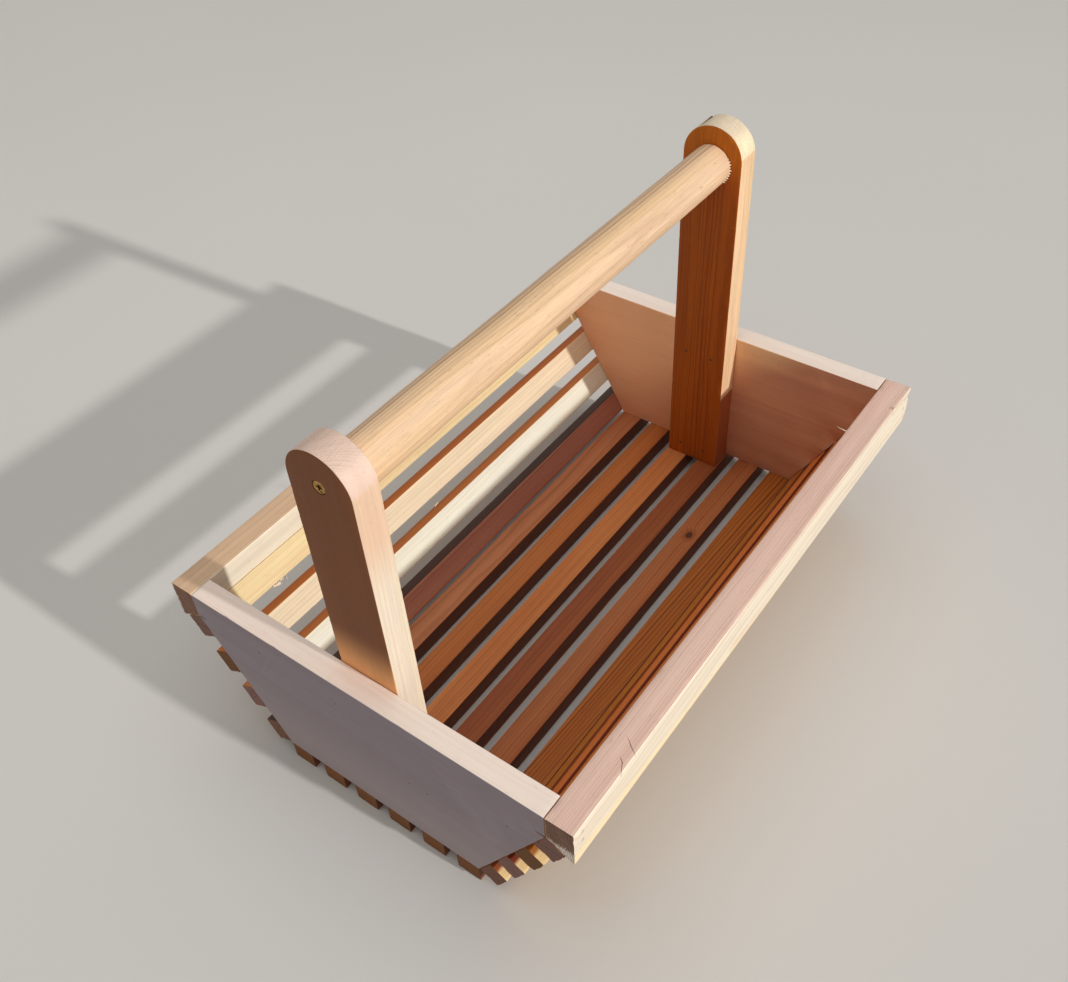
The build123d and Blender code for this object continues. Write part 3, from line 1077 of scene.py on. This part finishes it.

# Uprights, with painted shade and painted light on their faces
crown = upright_high.z - upright_high.y
UPRIGHT_LOOKS = {
    "front": dict(
        early=(243, 228, 200), late=(218, 184, 149), blush=(245, 230, 209), cut=(236, 205, 186),
        # The outer face is darkened as painted shade
        faces=((-1, 0, 0), (134, 77, 38), (116, 65, 30), (130, 76, 39)), one_sided=True, pith=(0, -30, 260),
        fades=(
            # Painted bounce light: the outer face paler just above the board
            fade("broad", Z, board_top + 44, board_top - 2, (255, 182, 117)),
            fade("narrow", Z, 225.0, 275.0, (239, 203, 172)),
            fade("narrow", Z, crown, crown + 5.0, (240, 208, 188)),
        ),
        Spacing=1.6, Warp=2.5, Rings=0.4,
    ),
    "back": dict(
        early=(240, 204, 160), late=(214, 156, 104), blush=(242, 208, 168), cut=(238, 218, 188),
        # Both broad faces are darkened as painted shade
        faces=(AXIS_X, (184, 92, 12), (112, 44, 3), (172, 83, 12)), pith=(0, 260, -20),
        fades=(
            # Painted shadow of the right rail: the sides darker below about 90 mm
            fade("narrow", Z, 94.0, 90.0, (171, 96, 54)),
            fade("broad", Z, 286.0, 312.0, (200, 108, 14)),
            fade("narrow", Z, crown + 3.2, crown + 3.8, (246, 228, 190)),
        ),
        Spacing=0.95, Warp=0.8, Rings=0.7, Fibre=0.75,
    ),
}
# A thin chip out of the back upright's top: place, and a profile of depths and radii
CHIP_PLACE = (11.4, 325.5)
CHIP_PROFILE = ((-0.6, 1.9), (1.0, 1.8), (7.0, 1.2), (14.0, 0.7), (19.0, 0.2))
CHIP_SIDES = 9
# The screw's hole, a countersink and a shank: depth, and radius beyond that of the screw's head
screw_radius = (screw_high.z - screw_low.z) / 2
screw_height = (screw_high.z + screw_low.z) / 2
shank_less = -screw_radius / 2 + 0.4
HOLE_PROFILE = ((-1.0, 0.5), (0.45, 0.4), (screw_radius - 1.3, shank_less), (24.0, shank_less))
HOLE_SIDES = 48

for name, end in ends.items():
    half = upright_high.y
    corners = rectangle(-half, upright_low.z, half, upright_high.z)
    outline, eased = rounded(corners, [UPRIGHT_CORNER, UPRIGHT_CORNER, half, half], STEP)
    start, stop = sorted((end * upright_low.x, end * upright_high.x))
    skin = sweep(outline, eased, start, stop, UPRIGHT_STEP, UPRIGHT_EASE, BOARD_STEP)
    seed = UPRIGHT_SEED + end
    wear(skin, Z, seed, UPRIGHT_SAW)
    profile = [(depth, screw_radius + grow) for depth, grow in HOLE_PROFILE]
    cutters = [lathe(profile, Vector((end * upright_high.x, 0, screw_height)), end, HOLE_SIDES)]
    if end > 0:
        cutters.append(lathe(CHIP_PROFILE, Vector((stop, *CHIP_PLACE)), end, CHIP_SIDES))
    look = dict(CutRings=0.22, **UPRIGHT_LOOKS[name])
    add_piece(f"upright_{name}", skin, Z, seed, look, cutters)

# Carrying bar
bar_radius = (bar_high.z - bar_low.z) / 2
bar_height = (bar_high.z + bar_low.z) / 2
# Flats along it, with their drift and the swell between them
FACET = 0.16
FACETS = 11
DRIFT_LENGTH = 70.0
SWELL = 0.3
SWELL_LENGTH = 26.0
# Torn fibres round part of its back end, placed by angle
TORN_COUNT = 10
TORN_FIRST = 150.0
TORN_STEP = 8.0
TORN_INSET = 1.2
TORN_ROOT = 0.5
TORN_LEAN = 0.9
TORN_LENGTH = 1.5
TORN_WIDTH = 1.3
TORN_CURL = 0.2
BAR_LOOK = dict(
    early=(234, 197, 153), late=(140, 96, 72), blush=(238, 203, 168), cut=(200, 160, 120), torn=TORN_WOOD,
    pith=(0, 260, bar_height - 150), lines=(Y, -7.0, 4.0, 0.28, 1.0), Spacing=2.2, Tilt=0.012, Warp=1.8,
    Fibre=0.5, Pore=0.5,
)


def hand_shaped(point, normal):
    """Shallow uneven flats that a plane leaves along the bar."""
    angle = math.atan2(normal.z, normal.y)
    drift = noise.noise(Vector((point.x / DRIFT_LENGTH, 3.3, 1.7)))
    flat = abs(math.sin(angle * FACETS / 2 + drift * 2))
    swell = unit_noise(Vector((point.x / SWELL_LENGTH, angle * 1.3, 9.1)))
    return FACET * flat + SWELL * swell


corners = rectangle(-bar_radius, bar_height - bar_radius, bar_radius, bar_height + bar_radius)
outline, eased = rounded(corners, [bar_radius] * 4, BAR_STEP)
skin = sweep(outline, eased, bar_low.x, bar_high.x, STEP, BAR_EASE, STEP)
wear(skin, X, BAR_SEED, BAR_SAW, hand_shaped)
along = Vector(AXIS_X)
for index in range(TORN_COUNT):
    angle = math.radians(TORN_FIRST + index * TORN_STEP)
    rag = noise.noise(Vector((index * 1.7, 4.2, 0.6)))
    y, z = bar_radius * math.cos(angle), bar_radius * math.sin(angle)
    radial = Vector((0, math.cos(angle), math.sin(angle)))
    start = Vector((bar_high.x - TORN_INSET, y, bar_height + z)) - radial * TORN_ROOT
    way = along + radial * (TORN_LEAN + rag)
    skin.add_spike(start, way, radial.cross(along), TORN_LENGTH + rag, TORN_WIDTH, TORN_CURL)
add_piece("carry_bar", skin, X, BAR_SEED, BAR_LOOK)

# Fasteners keep their frame shapes and take better finishes
brass = metal("screw_brass_turned", (196, 152, 78), (120, 88, 44), 0.34, 1.0)
steel = metal("brad_steel_brushed", (176, 176, 178), (104, 98, 92), 0.38, 1.5)
pale_steel = metal("brad_steel_pale", (224, 212, 190), (196, 178, 152), 0.6, 1.5, 0.3)
dull_steel = metal("brad_steel_dull", (126, 92, 70), (62, 42, 32), 0.5, 1.5, 0.6)
FINISHES = {"bar_screws": brass, "upright_brads": dull_steel, "rail_brads": pale_steel}
FINISHES.update(dict.fromkeys(("floor_brads", "side_brads_left", "side_brads_right"), steel))
for node, finish in FINISHES.items():
    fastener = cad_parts[node]
    fastener.data.materials.clear()
    fastener.data.materials.append(finish)

# Studio floor
FLOOR_REACH = 6.0
FLOOR_DROP = 0.0002
FLOOR_RELIEF = 0.01
mesh = bpy.data.meshes.new("studio_floor")
corners = rectangle(-FLOOR_REACH, -FLOOR_REACH, FLOOR_REACH, FLOOR_REACH)
mesh.from_pydata([(corner.x, corner.y, -FLOOR_DROP) for corner in corners], [], [(0, 1, 2, 3)])
floor = new_object("studio_floor", mesh)
made, g = new_material("studio_floor")
shade = g.noise(g.node("TexCoord").outputs["Object"], (1.5, 1.5, 1.5))
colour = g.blend(shade, tint(216, 213, 208), tint(224, 221, 216))
finish_material(g, colour, 0.9, shade, FLOOR_RELIEF)
floor.data.materials.append(made)

# Light, with a plain bright backdrop that only the camera and reflections see
SUN_WAY = (-0.056, 1.0, -0.37)
SUN_STRENGTH = 2.1
SUN_ANGLE = math.radians(1.5)
WARM_WHITE = (1.0, 0.985, 0.965)
FILL = 0.31
BACKDROP = (226, 224, 220)
SOFTBOX_POWER = 15.0
SOFTBOX_SIZE = 2.4
SOFTBOX_HEIGHT = 2.2
lamp = bpy.data.lights.new("key", "SUN")
lamp.energy = SUN_STRENGTH
lamp.angle = SUN_ANGLE
lamp.color = WARM_WHITE
key = new_object("key", lamp)
key.rotation_mode = "QUATERNION"
key.rotation_quaternion = Vector(SUN_WAY).to_track_quat("-Z", "Y")

lamp = bpy.data.lights.new("softbox", "AREA")
lamp.energy = SOFTBOX_POWER
lamp.size = SOFTBOX_SIZE
softbox = new_object("softbox", lamp)
softbox.location = (0, 0, SOFTBOX_HEIGHT)

world = bpy.data.worlds.new("studio")
world.use_nodes = True
world.node_tree.nodes.clear()
bpy.context.scene.world = world
g = Graph(world.node_tree)
path = g.node("LightPath").outputs
seen = g.calc("MAXIMUM", path["Is Camera Ray"], path["Is Glossy Ray"])
seen = g.calc("MAXIMUM", seen, path["Is Transmission Ray"])
fill = g.node("Background", {"Color": (*WARM_WHITE, 1), "Strength": FILL})
shown = g.node("Background", {"Color": tint(*BACKDROP), "Strength": 1.0})
both = g.node("MixShader", {0: seen, 1: fill.outputs[0], 2: shown.outputs[0]})
g.node("OutputWorld", {0: both.outputs[0]})

# Camera, whose place and turn were fitted to the photo
EYE = Vector((-460.6, -341.87, 688.05))
CAMERA_RIGHT = Vector((0.588124, -0.807186, -0.050595))
CAMERA_DOWN = Vector((-0.596329, -0.390531, -0.70134))
CAMERA_FORWARD = Vector((0.546353, 0.442646, -0.711029))
LENS = 36.95
SHIFT_UP = 0.0213
NEAREST = 0.01
optics = bpy.data.cameras.new("camera")
optics.lens = LENS
optics.shift_y = SHIFT_UP
optics.clip_start = NEAREST
camera = new_object("camera", optics)
turn = Matrix((CAMERA_RIGHT, -CAMERA_DOWN, -CAMERA_FORWARD)).transposed()
camera.matrix_world = Matrix.Translation(EYE * MM) @ turn.to_4x4()
bpy.context.scene.camera = camera
bpy.context.scene.view_settings.view_transform = "Standard"
